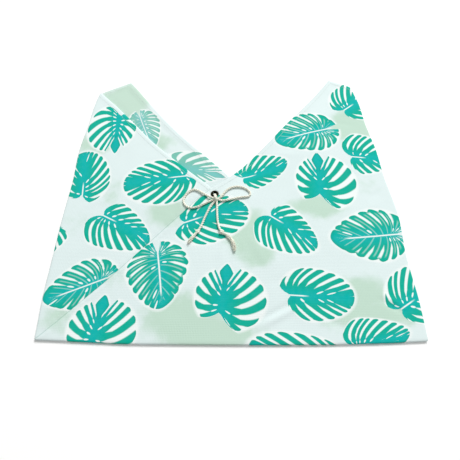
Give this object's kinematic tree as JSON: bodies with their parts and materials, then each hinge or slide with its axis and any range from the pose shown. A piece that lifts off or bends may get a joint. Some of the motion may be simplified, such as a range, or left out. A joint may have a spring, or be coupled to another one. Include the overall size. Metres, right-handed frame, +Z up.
{
  "type": "azuma bag",
  "caption": "Flat cloth bag folded from one printed strip, with two ears, a V-shaped mouth, an eyelet at the notch and a cord tied in a bow.",
  "frame": {"origin": "middle of the bag's underside as it lies flat, on the surface it rests on", "axes": "+X to the right along the near folded edge, +Y away from it towards the tips of the ears, +Z up out of the surface"},
  "size_m": [0.4575, 0.4517, 0.0138],
  "materials": {
    "printed_cotton": "plain woven cotton, pale mint with teal leaves",
    "aged_brass": "dark aged metal",
    "cotton_cord": "cream twisted cotton"
  },
  "bodies": {
    "root": {"bag_cloth": "printed_cotton", "eyelet": "aged_brass", "bow_knot": "cotton_cord", "cord_loop_left": "cotton_cord", "cord_loop_right": "cotton_cord", "cord_tail_left": "cotton_cord", "cord_tail_right": "cotton_cord", "cord_end_left": "cotton_cord", "cord_end_right": "cotton_cord"}
  },
  "joints": []
}
